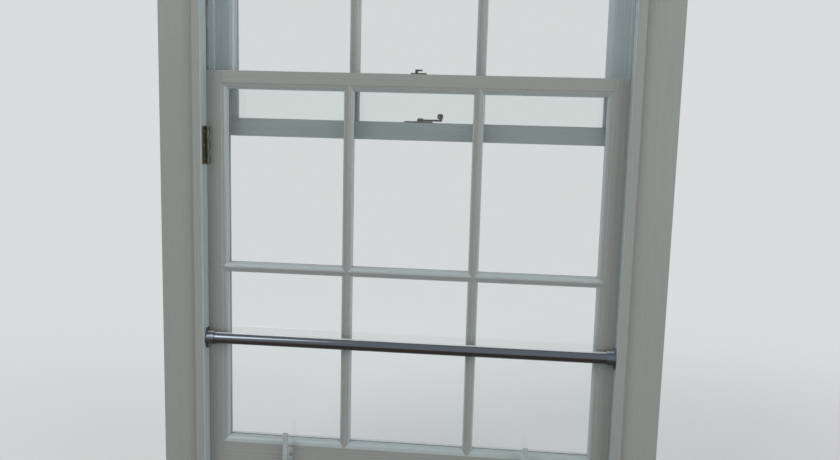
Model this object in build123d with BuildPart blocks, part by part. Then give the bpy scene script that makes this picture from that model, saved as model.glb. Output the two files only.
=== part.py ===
"""Box-frame sash window, six panes over six, in millimetres.

The window stands on the flat underside of its sill. +X runs to the right as seen from
the room, +Y out of doors and +Z up. The origin is on the sill's underside, midway
between the two weight boxes, in the plane of the inside linings' room faces. The lower
sash is drawn raised a little, as it stands when the room is aired.
"""
from build123d import *
from math import radians, sin, tan
import os

os.makedirs("parts", exist_ok=True)

# Glass and bars
pane_w = 240.0
pane_h = 358.0
columns = 3
rows = 2
bar_w = 21.0
bar_nose = 4.0
glass_t = 3.0
glass_depth = 16.0
glass_gap = 1.0
rebate_w = 7.0
putty_land = 0.8

# Sashes
sash_t = 45.0
stile_w = 50.0
top_rail_h = 50.0
meeting_rail_h = 37.0
bottom_rail_h = 82.0
frame_mould = 12.0
quirk = 1.5
tenon_t = 12.0
tenon_stop = 15.0
tenon_shoulder = 8.0
lower_raised = 96.0

# Meeting faces of the two middle rails
meeting_reach = 6.0
meeting_bevel = 3.0

# Clearances round the sashes
side_gap = 1.5
slide_gap = 1.5
seat_gap = 1.0

# Box frame
lining_t = 20.0
pulley_stile_t = 22.0
tongue_t = 6.0
tongue_l = 8.0
tongue_back = 2.0
box_inside = 50.0
back_t = 10.0
outer_reach = 15.0
head_t = 22.0
lining_rise = 12.0
parting_t = 10.0
parting_reach = 10.0
parting_groove = 8.0
staff_w = 18.0
staff_reach = 10.0
staff_proud = 14.0
staff_round = 4.0
arris = 1.2
cut_over = 1.2
wagtail_t = 5.0
wagtail_gap = 3.0

# Sill
sill_h = 65.0
sill_slope = 9.0
sill_nose = 49.0
sill_seat = 30.0
drip_w = 8.0
drip_depth = 6.0
drip_inset = 14.0
nose_round = 4.0

# Pockets through which the weights are hung
pocket_h = 340.0
pocket_z = 150.0
pocket_edge = 4.0
pocket_gap = 0.5

# Cords, pulleys and weights
cord_d = 6.0
cord_off = 4.5
cord_groove_w = 14.0
cord_groove_depth = 11.0
cord_tail = 260.0
cord_gap = 0.3
knot_d = 11.0
pulley_drop = 130.0
wheel_w = 9.0
wheel_lip = 2.25
wheel_web = 5.0
rim_depth = 9.0
hub_r = 8.0
hub_gap = 0.2
axle_d = 6.0
axle_gap = 0.05
cheek_t = 2.5
cheek_space = 11.0
cheek_h = 60.0
cheek_back = 9.0
case_w = 28.0
case_h = 116.0
case_t = 3.0
case_slot_h = 52.0
mortise_gap = 0.3
weight_d = 44.0
weight_neck = 26.0
weight_neck_h = 30.0
lower_weight_l = 532.0
upper_weight_l = 515.0
lower_weight_top = 1385.0
upper_weight_foot = 110.0
weight_hole_gap = 0.5
knot_depth = 34.0

# Safety bar across the room side
tube_d = 24.0
tube_wall = 1.5
tube_y = 7.0
tube_height = 220.0
tube_gap = 0.4
socket_d = 28.0
socket_l = 18.0
plate_h = 46.0
plate_w = 22.0
plate_t = 3.0
plate_screw = 17.0

# Sash lifts on the bottom rail
lift_x = 252.0
lift_w = 10.0
lift_t = 5.0
lift_out = 24.0
lift_tip = 20.0
lift_bend = 9.0
lift_tip_round = 2.2
lift_plate_w = 24.0
lift_plate_h = 36.0
lift_plate_t = 2.5
lift_plate_top = -15.0
lift_screw = 8.0

# Fastener on the meeting rails
pivot_x = 9.0
pivot_inset = 7.5
fastener_t = 2.5
fastener_w = 14.0
fastener_right = 25.0
fastener_left = 33.0
pivot_d = 6.0
pivot_boss = 7.0
arm_l = 41.0
arm_w = 8.0
arm_t = 4.0
arm_gap = 0.4
knob_d = 12.0
knob_h = 12.0
knob_neck = 6.0
knob_step = 1.5
pivot_cap = 1.6
pivot_cap_d = 12.0
keep_w = 30.0
keep_l = 26.0
keep_t = 2.5
keep_post = 5.0
keep_hook_t = 3.0
keep_gap = 0.6
keep_inset = 3.0

# Hinge leaf on the left staff bead
hinge_drop = 18.5
hinge_h = 76.0
hinge_leaf_t = 2.2
hinge_leaf_w = 20.0
hinge_knuckle_d = 9.0
hinge_pin_d = 4.0
hinge_y = 11.0
hinge_knuckles = 5
pin_proud = 1.2

# Screws
screw_head = 7.0
screw_d = 3.6
screw_l = 15.0
screw_sink = 2.0
screw_margin = 1.0

# Places across the window, measured from its middle
sight_w = columns * pane_w + (columns - 1) * bar_w
sight_h = rows * pane_h + (rows - 1) * bar_w
sash_w = sight_w + 2 * stile_w
sash_x = sash_w / 2
jamb_x = sash_x + side_gap
stile_back_x = jamb_x + pulley_stile_t
box_back_x = stile_back_x + box_inside
frame_x = box_back_x + back_t
bead_x = jamb_x - staff_reach
bead_out_x = bead_x + staff_w
stop_x = jamb_x - outer_reach

# Places through the window, from the room outwards
lower_y = lining_t + slide_gap
parting_y = lower_y + sash_t + slide_gap
upper_y = parting_y + parting_t + slide_gap
outer_y = upper_y + sash_t + slide_gap
frame_y = outer_y + lining_t
nose_y = frame_y + sill_nose

# Heights
slope = tan(radians(sill_slope))


def sill_top(y):
    """Height of the sill's weathered top at a depth y."""
    return sill_h - max(0.0, y - lining_t) * slope


lower_h = bottom_rail_h + sight_h + meeting_rail_h
upper_h = meeting_rail_h + sight_h + top_rail_h
closed_z = sill_top(lower_y) + seat_gap
lower_z = closed_z + lower_raised
lower_sight = lower_z + bottom_rail_h
lower_top = lower_z + lower_h
meeting_z = closed_z + lower_h
upper_z = meeting_z - meeting_rail_h
upper_sight = meeting_z
upper_top = upper_z + upper_h
head_z = upper_top + seat_gap
head_top = head_z + head_t
frame_top = head_top + lining_rise
sash_drop = sash_t * slope
staff_top = head_z - staff_reach + staff_w

# Cord lines
cord_x = jamb_x - cord_off
weight_x = stile_back_x + box_inside / 2
cord_r = (weight_x - cord_x) / 2
wheel_x = cord_x + cord_r
wheel_r = cord_r + wheel_lip
pulley_z = head_z - pulley_drop
lower_mid_y = lower_y + sash_t / 2
upper_mid_y = upper_y + sash_t / 2
wagtail_y = (lower_mid_y + upper_mid_y) / 2

# The fastener's pivot, and how near its knob comes to the keep's hook
pivot_y = upper_y + glass_depth - pivot_inset
hook_near = pivot_y - arm_l + knob_d / 2 + keep_gap

standing = (Align.CENTER, Align.CENTER, Align.MIN)


def save(builder, name):
    """Label a finished piece and write it out."""
    builder.part.label = name
    export_step(builder.part, f"parts/{name}.step")


def save_pair(builder, name):
    """Write a right-hand piece and its mirror image."""
    save(builder, f"{name}_right")
    with BuildPart() as other:
        add(builder.part.mirror(Plane.YZ))
    save(other, f"{name}_left")


def block(low, high, mode=Mode.ADD):
    """A box between its lowest and highest corners."""
    size = [high[i] - low[i] for i in range(3)]
    with Locations(tuple(low)):
        Box(*size, align=(Align.MIN, Align.MIN, Align.MIN), mode=mode)


def rod(start, direction, radius, length, mode=Mode.ADD):
    """A cylinder from a point along a direction."""
    with Locations(Plane(origin=start, z_dir=direction).location):
        Cylinder(radius, length, align=standing, mode=mode)


def screw(at, direction, mode=Mode.ADD):
    """A countersunk screw whose head lies flush at a point, driven along a direction."""
    seat = Plane(origin=at, z_dir=direction)
    with Locations(seat.location):
        Cone(screw_head / 2, screw_d / 2, screw_sink, align=standing, mode=mode)
    with Locations(seat.offset(screw_sink).location):
        Cylinder(screw_d / 2, screw_l, align=standing, mode=mode)


def quarter(start, end, corner):
    """A quarter round from start to end, bulging towards the corner."""
    centre = (start[0] + end[0] - corner[0], start[1] + end[1] - corner[1])
    reach = sin(radians(45))
    middle = [centre[i] + (corner[i] - centre[i]) * reach for i in range(2)]
    ThreePointArc(start, tuple(middle), end)


def moulded_section(plane, width, mould):
    """A sash member: u from its outer edge to the sight line, v from the room face out."""
    deep = quirk + mould
    with BuildSketch(plane) as section:
        with BuildLine():
            Polyline(
                (width - mould, quirk),
                (width - mould, 0),
                (0, 0),
                (0, sash_t),
                (width - rebate_w, sash_t),
                (width - rebate_w, glass_depth),
                (width, glass_depth),
                (width, deep),
            )
            quarter((width, deep), (width - mould, quirk), (width, quirk))
        make_face()
    return section.sketch


def plain_section(plane, width):
    """A sash member with a rebate for the glass and no moulding."""
    with BuildSketch(plane) as section:
        with BuildLine():
            Polyline(
                (0, 0),
                (0, sash_t),
                (width - rebate_w, sash_t),
                (width - rebate_w, glass_depth),
                (width, glass_depth),
                (width, 0),
                close=True,
            )
        make_face()
    return section.sketch


def bar_section(plane):
    """A glazing bar: u across the bar from its middle, v from the room face out."""
    half = bar_w / 2
    nose = bar_nose / 2
    tongue = half - rebate_w
    deep = quirk + half - nose
    with BuildSketch(plane) as section:
        with BuildLine():
            quarter((-half, deep), (-nose, quirk), (-half, quirk))
            Polyline((-nose, quirk), (-nose, 0), (nose, 0), (nose, quirk))
            quarter((nose, quirk), (half, deep), (half, quirk))
            Polyline(
                (half, deep),
                (half, glass_depth),
                (tongue, glass_depth),
                (tongue, sash_t),
                (-tongue, sash_t),
                (-tongue, glass_depth),
                (-half, glass_depth),
                (-half, deep),
            )
        make_face()
    return section.sketch


def pane_centres(sight):
    """Middle of each pane, row by row, above the sash's sight line."""
    for row in range(rows):
        for column in range(columns):
            x = (column - (columns - 1) / 2) * (pane_w + bar_w)
            z = sight + pane_h / 2 + row * (pane_h + bar_w)
            yield x, z


def tenon(y, low_z, high_z, mode):
    """The right-hand tenon of a rail, or the mortise that takes it."""
    start = sight_w / 2 + rebate_w
    front = y + glass_depth + quirk
    block((start, front, low_z), (sash_x - tenon_stop, front + tenon_t, high_z), mode)


def make_stile(y, z, top, tenons, foot):
    """The right-hand stile of a sash, with its cord groove; foot is its sloped underside."""
    plane = Plane(origin=(sash_x, y, top), x_dir=(-1, 0, 0), z_dir=(0, 0, -1))
    with BuildPart() as stile:
        section = moulded_section(plane, stile_w, frame_mould)
        extrude(section, amount=top - z + (sash_drop if foot else 0))
        if foot:
            split(bisect_by=foot, keep=Keep.TOP)
        for low_z, high_z in tenons:
            tenon(y, low_z, high_z, Mode.SUBTRACT)
        middle = y + sash_t / 2
        block(
            (sash_x - cord_groove_depth, middle - cord_groove_w / 2, top - cord_tail),
            (sash_x + side_gap, middle + cord_groove_w / 2, top + seat_gap),
            Mode.SUBTRACT,
        )
    return stile


def rail_plane(y, z, upwards):
    """Plane of a rail's section: u runs from its outer edge towards the glass."""
    end = sight_w / 2 + frame_mould
    if upwards:
        return Plane(origin=(end, y, z), x_dir=(0, 0, 1), z_dir=(-1, 0, 0))
    return Plane(origin=(-end, y, z), x_dir=(0, 0, -1), z_dir=(1, 0, 0))


def rail_ends(y, low_z, high_z, stile):
    """Give a rail its two tenons and scribe its shoulders over the stiles."""
    for side in (Plane.XY, Plane.YZ):
        with BuildPart(mode=Mode.PRIVATE) as peg:
            tenon(y, low_z, high_z, Mode.ADD)
        add(peg.part if side == Plane.XY else peg.part.mirror(side))
    add(stile.part, mode=Mode.SUBTRACT)
    add(stile.part.mirror(Plane.YZ), mode=Mode.SUBTRACT)


def glaze(name, y, sight, stile, rails):
    """Bars, panes and putty of one sash."""
    rise = rows * pane_h + (rows - 1) * bar_w
    with BuildPart() as uprights:
        for column in range(columns - 1):
            x = (column - (columns - 2) / 2) * (pane_w + bar_w)
            start = (x, y, sight - frame_mould)
            plane = Plane(origin=start, x_dir=(1, 0, 0), z_dir=(0, 0, 1))
            extrude(bar_section(plane), amount=rise + 2 * frame_mould)
        for rail in rails:
            add(rail.part, mode=Mode.SUBTRACT)
    save(uprights, f"{name}_upright_bars")
    with BuildPart() as crosses:
        for row in range(rows - 1):
            z = sight + pane_h + bar_w / 2 + row * (pane_h + bar_w)
            start = (-sight_w / 2 - frame_mould, y, z)
            plane = Plane(origin=start, x_dir=(0, 0, -1), z_dir=(1, 0, 0))
            extrude(bar_section(plane), amount=sight_w + 2 * frame_mould)
        add(uprights.part, mode=Mode.SUBTRACT)
        add(stile.part, mode=Mode.SUBTRACT)
        add(stile.part.mirror(Plane.YZ), mode=Mode.SUBTRACT)
    save(crosses, f"{name}_cross_bars")
    glass_y = y + glass_depth
    spare = rebate_w - glass_gap
    with BuildPart() as panes:
        for x, z in pane_centres(sight):
            low = (x - pane_w / 2 - spare, glass_y, z - pane_h / 2 - spare)
            high = (x + pane_w / 2 + spare, glass_y + glass_t, z + pane_h / 2 + spare)
            block(low, high)
    save(panes, f"{name}_panes")
    inner_y = glass_y + glass_t
    outer_face = y + sash_t - putty_land
    with BuildPart() as putty:
        for x, z in pane_centres(sight):
            low = (x - pane_w / 2 - rebate_w, inner_y, z - pane_h / 2 - rebate_w)
            high = (x + pane_w / 2 + rebate_w, outer_face, z + pane_h / 2 + rebate_w)
            block(low, high)
        flare = 2 * (rebate_w - putty_land)
        for x, z in pane_centres(sight):
            near = Plane(origin=(x, inner_y, z), x_dir=(1, 0, 0), z_dir=(0, 1, 0))
            with BuildSketch(near):
                Rectangle(pane_w, pane_h)
            with BuildSketch(near.offset(outer_face - inner_y)):
                Rectangle(pane_w + flare, pane_h + flare)
            loft(mode=Mode.SUBTRACT)
    save(putty, f"{name}_putty")


# Lower sash
slope_plane = Plane(
    origin=(0, lower_y, lower_z),
    x_dir=(1, 0, 0),
    z_dir=(0, slope, 1),
)
lower_tenons = (
    (lower_z + tenon_shoulder, lower_sight - tenon_shoulder),
    (lower_top - meeting_rail_h + tenon_shoulder, lower_top - tenon_shoulder),
)
lower_stile = make_stile(lower_y, lower_z, lower_top, lower_tenons, slope_plane)
save_pair(lower_stile, "lower_stile")

rail_l = sight_w + 2 * frame_mould
lift_sides = (-lift_x, lift_x)
lift_face = lower_y
lift_mid_z = lower_sight + lift_plate_top - lift_plate_h / 2


def lift_screws(mode=Mode.ADD):
    """Two screws through each lift's plate, either side of its hook."""
    for x in lift_sides:
        for step in (-lift_screw, lift_screw):
            at = (x + step, lift_face - lift_plate_t, lift_mid_z)
            screw(at, (0, 1, 0), mode)


def keep_screws(mode=Mode.ADD):
    """Two screws through the fastener's keep, into the lower meeting rail."""
    for step in (-1, 1):
        x = pivot_x + step * (keep_w / 2 - screw_head / 2 - screw_margin)
        at = (x, lower_y + keep_inset + screw_head + keep_inset, lower_top + keep_t)
        screw(at, (0, 0, -1), mode)


with BuildPart() as lower_bottom_rail:
    plane = rail_plane(lower_y, lower_z - sash_drop, True)
    section = moulded_section(plane, bottom_rail_h + sash_drop, frame_mould)
    extrude(section, amount=rail_l)
    split(bisect_by=slope_plane, keep=Keep.TOP)
    rail_ends(lower_y, *lower_tenons[0], lower_stile)
    lift_screws(Mode.SUBTRACT)
save(lower_bottom_rail, "lower_bottom_rail")

# The meeting rails reach across the gap between the sashes, inside the parting beads.
reach_x = jamb_x - parting_reach - side_gap

with BuildPart() as lower_meeting_rail:
    plane = rail_plane(lower_y, lower_top, False)
    extrude(moulded_section(plane, meeting_rail_h, frame_mould), amount=rail_l)
    rail_ends(lower_y, *lower_tenons[1], lower_stile)
    back = lower_y + sash_t
    foot_z = lower_top - meeting_rail_h
    middle_z = lower_top - meeting_rail_h / 2
    with BuildSketch(Plane(origin=(-reach_x, 0, 0), x_dir=(0, 1, 0), z_dir=(1, 0, 0))):
        with BuildLine():
            Polyline(
                (back, foot_z + rebate_w),
                (back + meeting_reach, foot_z + rebate_w),
                (back + meeting_reach, middle_z),
                (back + meeting_reach + meeting_bevel, lower_top),
                (back, lower_top),
                close=True,
            )
        make_face()
    extrude(amount=2 * reach_x)
    keep_screws(Mode.SUBTRACT)
save(lower_meeting_rail, "lower_meeting_rail")

glaze("lower", lower_y, lower_sight, lower_stile, (lower_bottom_rail, lower_meeting_rail))

with BuildPart() as lower_screws:
    lift_screws()
    keep_screws()
save(lower_screws, "lower_screws")

for side, x in (("left", -lift_x), ("right", lift_x)):
    inner = lift_face - lift_plate_t / 2
    outer = lift_face - lift_out + lift_t / 2
    foot = lift_mid_z - lift_plate_h / 2 + lift_t
    tip = lower_sight + lift_tip + lift_t / 2
    with BuildPart() as hook:
        with BuildSketch(Plane(origin=(x, 0, 0), x_dir=(0, 1, 0), z_dir=(1, 0, 0))):
            with BuildLine():
                FilletPolyline((inner, foot), (outer, foot), (outer, tip), radius=lift_bend)
            trace(line_width=lift_t)
        extrude(amount=lift_w / 2, both=True)
        fillet(edges().filter_by(Axis.X).group_by(Axis.Z)[-1], lift_tip_round)
        sides = faces().sort_by(Axis.X)
        fillet(sides[0].edges() + sides[-1].edges(), arris)
    with BuildPart() as lift:
        plate_mid = (x, lift_face, lift_mid_z)
        with BuildSketch(Plane(origin=plate_mid, x_dir=(1, 0, 0), z_dir=(0, -1, 0))):
            RectangleRounded(lift_plate_w, lift_plate_h, lift_bend / 2)
        extrude(amount=lift_plate_t)
        add(hook.part)
        lift_screws(Mode.SUBTRACT)
    save(lift, f"sash_lift_{side}")

with BuildPart() as keep:
    keep_y = lower_y + keep_inset
    low = (pivot_x - keep_w / 2, keep_y, lower_top)
    block(low, (pivot_x + keep_w / 2, keep_y + keep_l, lower_top + keep_t))
    hook_far = lower_y + sash_t - keep_inset
    hook_z = lower_top + fastener_t + arm_gap + arm_t + keep_gap
    post_x = pivot_x - arm_w / 2 - keep_gap
    post_low = (post_x - keep_post, hook_near, lower_top)
    block(post_low, (post_x, hook_far, hook_z + keep_hook_t))
    hook_low = (post_x, hook_near, hook_z)
    block(hook_low, (pivot_x + arm_w / 2, hook_far, hook_z + keep_hook_t))
    base_low = (post_x - keep_post, keep_y + keep_l, lower_top)
    block(base_low, (pivot_x + arm_w / 2, hook_far, lower_top + keep_t))
    keep_screws(Mode.SUBTRACT)
save(keep, "fastener_keep")

# Upper sash
upper_tenons = (
    (upper_z + tenon_shoulder, upper_sight - tenon_shoulder),
    (upper_top - top_rail_h + tenon_shoulder, upper_top - tenon_shoulder),
)
upper_stile = make_stile(upper_y, upper_z, upper_top, upper_tenons, None)
save_pair(upper_stile, "upper_stile")

with BuildPart() as upper_top_rail:
    plane = rail_plane(upper_y, upper_top, False)
    extrude(moulded_section(plane, top_rail_h, frame_mould), amount=rail_l)
    rail_ends(upper_y, *upper_tenons[1], upper_stile)
save(upper_top_rail, "upper_top_rail")

with BuildPart() as upper_meeting_rail:
    plane = rail_plane(upper_y, upper_z, True)
    extrude(plain_section(plane, meeting_rail_h), amount=rail_l)
    rail_ends(upper_y, *upper_tenons[0], upper_stile)
    with BuildSketch(Plane(origin=(-reach_x, 0, 0), x_dir=(0, 1, 0), z_dir=(1, 0, 0))):
        with BuildLine():
            Polyline(
                (upper_y, upper_z),
                (upper_y - meeting_reach, upper_z),
                (upper_y - meeting_reach, upper_z + meeting_rail_h / 2),
                (upper_y - meeting_reach + meeting_bevel, meeting_z),
                (upper_y, meeting_z),
                close=True,
            )
        make_face()
    extrude(amount=2 * reach_x)
save(upper_meeting_rail, "upper_meeting_rail")

glaze("upper", upper_y, upper_sight, upper_stile, (upper_meeting_rail, upper_top_rail))

# Fastener: a plate with a riveted pivot, and the arm that turns on it
arm_z = meeting_z + fastener_t + arm_gap
with BuildPart() as fastener_plate:
    with BuildSketch(Plane.XY.offset(meeting_z)):
        with Locations((pivot_x, pivot_y)):
            Circle(fastener_w / 2)
        with BuildLine():
            Polyline(
                (pivot_x, pivot_y - fastener_w / 2),
                (pivot_x + fastener_right, pivot_y - fastener_w / 2),
                (pivot_x + fastener_right, pivot_y + fastener_w / 2),
                (pivot_x, pivot_y + fastener_w / 2),
                (pivot_x - fastener_left, pivot_y + pivot_d / 2),
                (pivot_x - fastener_left, pivot_y - pivot_d / 2),
                close=True,
            )
        make_face()
    extrude(amount=fastener_t)
    post_h = fastener_t + 2 * arm_gap + arm_t
    rod((pivot_x, pivot_y, meeting_z), (0, 0, 1), pivot_d / 2, post_h)
    rod((pivot_x, pivot_y, meeting_z + post_h), (0, 0, 1), pivot_cap_d / 2, pivot_cap)
save(fastener_plate, "fastener_plate")

with BuildPart() as fastener_arm:
    with BuildSketch(Plane.XY.offset(arm_z)):
        with Locations((pivot_x, pivot_y)):
            Circle(pivot_boss)
        with Locations((pivot_x + arm_l / 2, pivot_y)):
            SlotCenterToCenter(arm_l, arm_w)
        with Locations((pivot_x, pivot_y)):
            Circle(pivot_d / 2 + axle_gap, mode=Mode.SUBTRACT)
    extrude(amount=arm_t)
    knob_z = arm_z + arm_t
    knob_at = (pivot_x + arm_l, pivot_y, knob_z)
    with BuildSketch(Plane(origin=knob_at, x_dir=(1, 0, 0), z_dir=(0, -1, 0))):
        with BuildLine():
            Polyline((0, knob_h), (0, 0), (knob_neck / 2, 0), (knob_neck / 2, knob_step))
            Spline(
                (knob_neck / 2, knob_step),
                (knob_d / 2, knob_step + knob_d / 3),
                (0, knob_h),
                tangents=((1, 0), (-1, 0)),
            )
        make_face()
    revolve(axis=Axis(knob_at, (0, 0, 1)))
save(fastener_arm, "fastener_arm")

# Sill: sunk and weathered on top, throated under its nose, notched for the boxes
with BuildPart() as sill:
    with BuildSketch(Plane(origin=(-frame_x, 0, 0), x_dir=(0, 1, 0), z_dir=(1, 0, 0))):
        with BuildLine():
            Polyline(
                (-staff_proud, 0),
                (-staff_proud, sill_h),
                (lining_t, sill_h),
                (nose_y, sill_top(nose_y)),
                (nose_y, 0),
                (nose_y - drip_inset, 0),
                (nose_y - drip_inset, drip_depth),
                (nose_y - drip_inset - drip_w, drip_depth),
                (nose_y - drip_inset - drip_w, 0),
                close=True,
            )
        make_face()
    extrude(amount=2 * frame_x)
    nose_edges = edges().filter_by(Axis.X).group_by(Axis.Y)[-1]
    fillet(nose_edges, nose_round)
    for step in (-1, 1):
        inner = sorted((step * jamb_x, step * (frame_x + cut_over)))
        block((inner[0], 0, sill_seat), (inner[1], outer_y, sill_h + cut_over), Mode.SUBTRACT)
        bead = sorted((step * bead_out_x, step * (frame_x + cut_over)))
        block((bead[0], -staff_proud - cut_over, sill_seat), (bead[1], 0, sill_h + cut_over), Mode.SUBTRACT)
        stop = sorted((step * stop_x, step * (frame_x + cut_over)))
        block((stop[0], outer_y, sill_seat), (stop[1], frame_y, sill_h + cut_over), Mode.SUBTRACT)
save(sill, "sill")


def case_screws(mode=Mode.ADD):
    """Screws at the top and bottom of each right-hand pulley case."""
    for y in (lower_mid_y, upper_mid_y):
        for step in (-1, 1):
            z = pulley_z + step * (case_h / 2 - screw_head)
            screw((jamb_x, y, z), (1, 0, 0), mode)


def pocket(gap, mode=Mode.ADD):
    """The right-hand pocket in the pulley stile, shrunk by a gap all round."""
    low = (jamb_x, lining_t + pocket_edge + gap, pocket_z + gap)
    high = (stile_back_x, parting_y - pocket_edge - gap, pocket_z + pocket_h - gap)
    block(low, high, mode)


with BuildPart() as pulley_stile:
    block((jamb_x, lining_t, sill_seat), (stile_back_x, outer_y, head_z))
    tongue_low = stile_back_x - tongue_back - tongue_t
    tongue_high = stile_back_x - tongue_back
    block((tongue_low, lining_t - tongue_l, sill_seat), (tongue_high, outer_y + tongue_l, head_z))
    groove_low = (jamb_x, parting_y, sill_seat)
    block(groove_low, (jamb_x + parting_groove, parting_y + parting_t, head_z), Mode.SUBTRACT)
    pocket(0, Mode.SUBTRACT)
    for y in (lower_mid_y, upper_mid_y):
        with BuildSketch(Plane(origin=(jamb_x, y, pulley_z), x_dir=(0, 0, 1), z_dir=(1, 0, 0))):
            SlotOverall(case_h, case_w)
        extrude(amount=case_t, mode=Mode.SUBTRACT)
        reach = cheek_space / 2 + cheek_t + mortise_gap
        tall = cheek_h / 2 + mortise_gap
        low = (jamb_x, y - reach, pulley_z - tall)
        block(low, (stile_back_x, y + reach, pulley_z + tall), Mode.SUBTRACT)
    case_screws(Mode.SUBTRACT)
save_pair(pulley_stile, "pulley_stile")

with BuildPart() as pocket_pieces:
    pocket(pocket_gap)
    mirror(about=Plane.YZ)
save(pocket_pieces, "pocket_pieces")

with BuildPart() as pulley_cases:
    for y in (lower_mid_y, upper_mid_y):
        with BuildSketch(Plane(origin=(jamb_x, y, pulley_z), x_dir=(0, 0, 1), z_dir=(1, 0, 0))):
            SlotOverall(case_h, case_w)
            Rectangle(case_slot_h, cheek_space, mode=Mode.SUBTRACT)
        extrude(amount=case_t)
        for step in (-1, 1):
            near = y + step * cheek_space / 2
            far = near + step * cheek_t
            low = (jamb_x, min(near, far), pulley_z - cheek_h / 2)
            high = (wheel_x + cheek_back, max(near, far), pulley_z + cheek_h / 2)
            block(low, high)
        across = cheek_space + 2 * cheek_t
        rod((wheel_x, y - across / 2, pulley_z), (0, 1, 0), axle_d / 2, across)
    case_screws(Mode.SUBTRACT)
    mirror(about=Plane.YZ)
save(pulley_cases, "pulley_cases")


def half_wheel(plane):
    """Half of a wheel's section, from its axis outwards."""
    bore = axle_d / 2 + axle_gap
    hub = cheek_space / 2 - hub_gap
    rim = wheel_r - rim_depth
    groove = cord_d / 2 + cord_gap
    lip = groove + wheel_lip / 3
    with BuildSketch(plane) as section:
        with BuildLine():
            Polyline(
                (cord_r, groove),
                (wheel_r, lip),
                (wheel_r, wheel_w / 2),
                (rim, wheel_w / 2),
                (rim, wheel_web / 2),
                (hub_r, wheel_web / 2),
                (hub_r, hub),
                (bore, hub),
                (bore, -hub),
                (hub_r, -hub),
                (hub_r, -wheel_web / 2),
                (rim, -wheel_web / 2),
                (rim, -wheel_w / 2),
                (wheel_r, -wheel_w / 2),
                (wheel_r, -lip),
                (cord_r, -groove),
            )
            ThreePointArc((cord_r, groove), (cord_r - groove, 0), (cord_r, -groove))
        make_face()
    return section.sketch


for name, y in (("lower", lower_mid_y), ("upper", upper_mid_y)):
    with BuildPart() as wheel:
        plane = Plane(origin=(wheel_x, y, pulley_z), x_dir=(1, 0, 0), z_dir=(0, 0, 1))
        revolve(half_wheel(plane), axis=Axis((wheel_x, y, pulley_z), (0, 1, 0)))
    save_pair(wheel, f"{name}_pulley")

# Weights: a round casting with a shouldered neck, a cord hole and a pocket for the knot
for name, y, foot, tall in (
    ("lower", lower_mid_y, lower_weight_top - lower_weight_l, lower_weight_l),
    ("upper", upper_mid_y, upper_weight_foot, upper_weight_l),
):
    top = foot + tall
    knot_z = top - knot_depth
    with BuildPart() as weight:
        with BuildSketch(Plane(origin=(weight_x, y, foot), x_dir=(1, 0, 0), z_dir=(0, -1, 0))):
            with BuildLine():
                Polyline(
                    (0, 0),
                    (weight_d / 2 - nose_round, 0),
                    (weight_d / 2, nose_round),
                    (weight_d / 2, tall - weight_neck_h),
                    (weight_neck / 2, tall - nose_round),
                    (weight_neck / 2 - nose_round, tall),
                    (0, tall),
                    close=True,
                )
            make_face()
        revolve(axis=Axis((weight_x, y, 0), (0, 0, 1)))
        hole = cord_d / 2 + weight_hole_gap
        rod((weight_x, y, knot_z), (0, 0, 1), hole, knot_depth, Mode.SUBTRACT)
        room = knot_d / 2 + weight_hole_gap
        low = (weight_x - room, y - weight_d / 2, knot_z - room)
        block(low, (weight_x + room, y + room, knot_z + room), Mode.SUBTRACT)
    save_pair(weight, f"{name}_weight")

    sash_top = lower_top if name == "lower" else upper_top
    with BuildPart() as cord:
        start = (cord_x, y, sash_top - cord_tail)
        with BuildLine() as run:
            Line(start, (cord_x, y, pulley_z))
            ThreePointArc(
                (cord_x, y, pulley_z),
                (wheel_x, y, pulley_z + cord_r),
                (weight_x, y, pulley_z),
            )
            Line((weight_x, y, pulley_z), (weight_x, y, knot_z))
        with BuildSketch(Plane(origin=start, z_dir=(0, 0, 1))):
            Circle(cord_d / 2)
        sweep(path=run.line)
        with Locations((weight_x, y, knot_z)):
            Sphere(knot_d / 2)
    save_pair(cord, f"{name}_cord")

# Linings round the boxes
with BuildPart() as inner_lining:
    block((bead_out_x, 0, sill_seat), (frame_x, lining_t, frame_top))
    groove = (tongue_low, lining_t - tongue_l, sill_seat)
    block(groove, (tongue_high, lining_t, head_z), Mode.SUBTRACT)
save_pair(inner_lining, "inner_lining")

with BuildPart() as inner_lining_head:
    block((-bead_out_x, 0, staff_top), (bead_out_x, lining_t, frame_top))
save(inner_lining_head, "inner_lining_head")

with BuildPart() as outer_lining:
    block((stop_x, outer_y, sill_seat), (frame_x, frame_y, frame_top))
    block((tongue_low, outer_y, sill_seat), (tongue_high, outer_y + tongue_l, head_z), Mode.SUBTRACT)
    stop_edge = edges().filter_by(Axis.Z).group_by(Axis.X)[0]
    fillet(stop_edge, arris)
save_pair(outer_lining, "outer_lining")

with BuildPart() as outer_lining_head:
    block((-stop_x, outer_y, head_z - outer_reach), (stop_x, frame_y, frame_top))
    stop_edge = edges().filter_by(Axis.X).group_by(Axis.Z)[0]
    fillet(stop_edge, arris)
save(outer_lining_head, "outer_lining_head")

with BuildPart() as back_linings:
    block((box_back_x, lining_t, sill_seat), (frame_x, outer_y, head_z))
    mirror(about=Plane.YZ)
save(back_linings, "back_linings")

with BuildPart() as pulley_head:
    block((-frame_x, lining_t, head_z), (frame_x, outer_y, head_top))
    groove = (-jamb_x, parting_y, head_z)
    block(groove, (jamb_x, parting_y + parting_t, head_z + parting_groove), Mode.SUBTRACT)
save(pulley_head, "pulley_head")

with BuildPart() as wagtails:
    low = (stile_back_x + wagtail_gap, wagtail_y - wagtail_t / 2, sill_seat + pocket_z)
    block(low, (box_back_x - wagtail_gap, wagtail_y + wagtail_t / 2, head_z))
    mirror(about=Plane.YZ)
save(wagtails, "wagtails")

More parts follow.
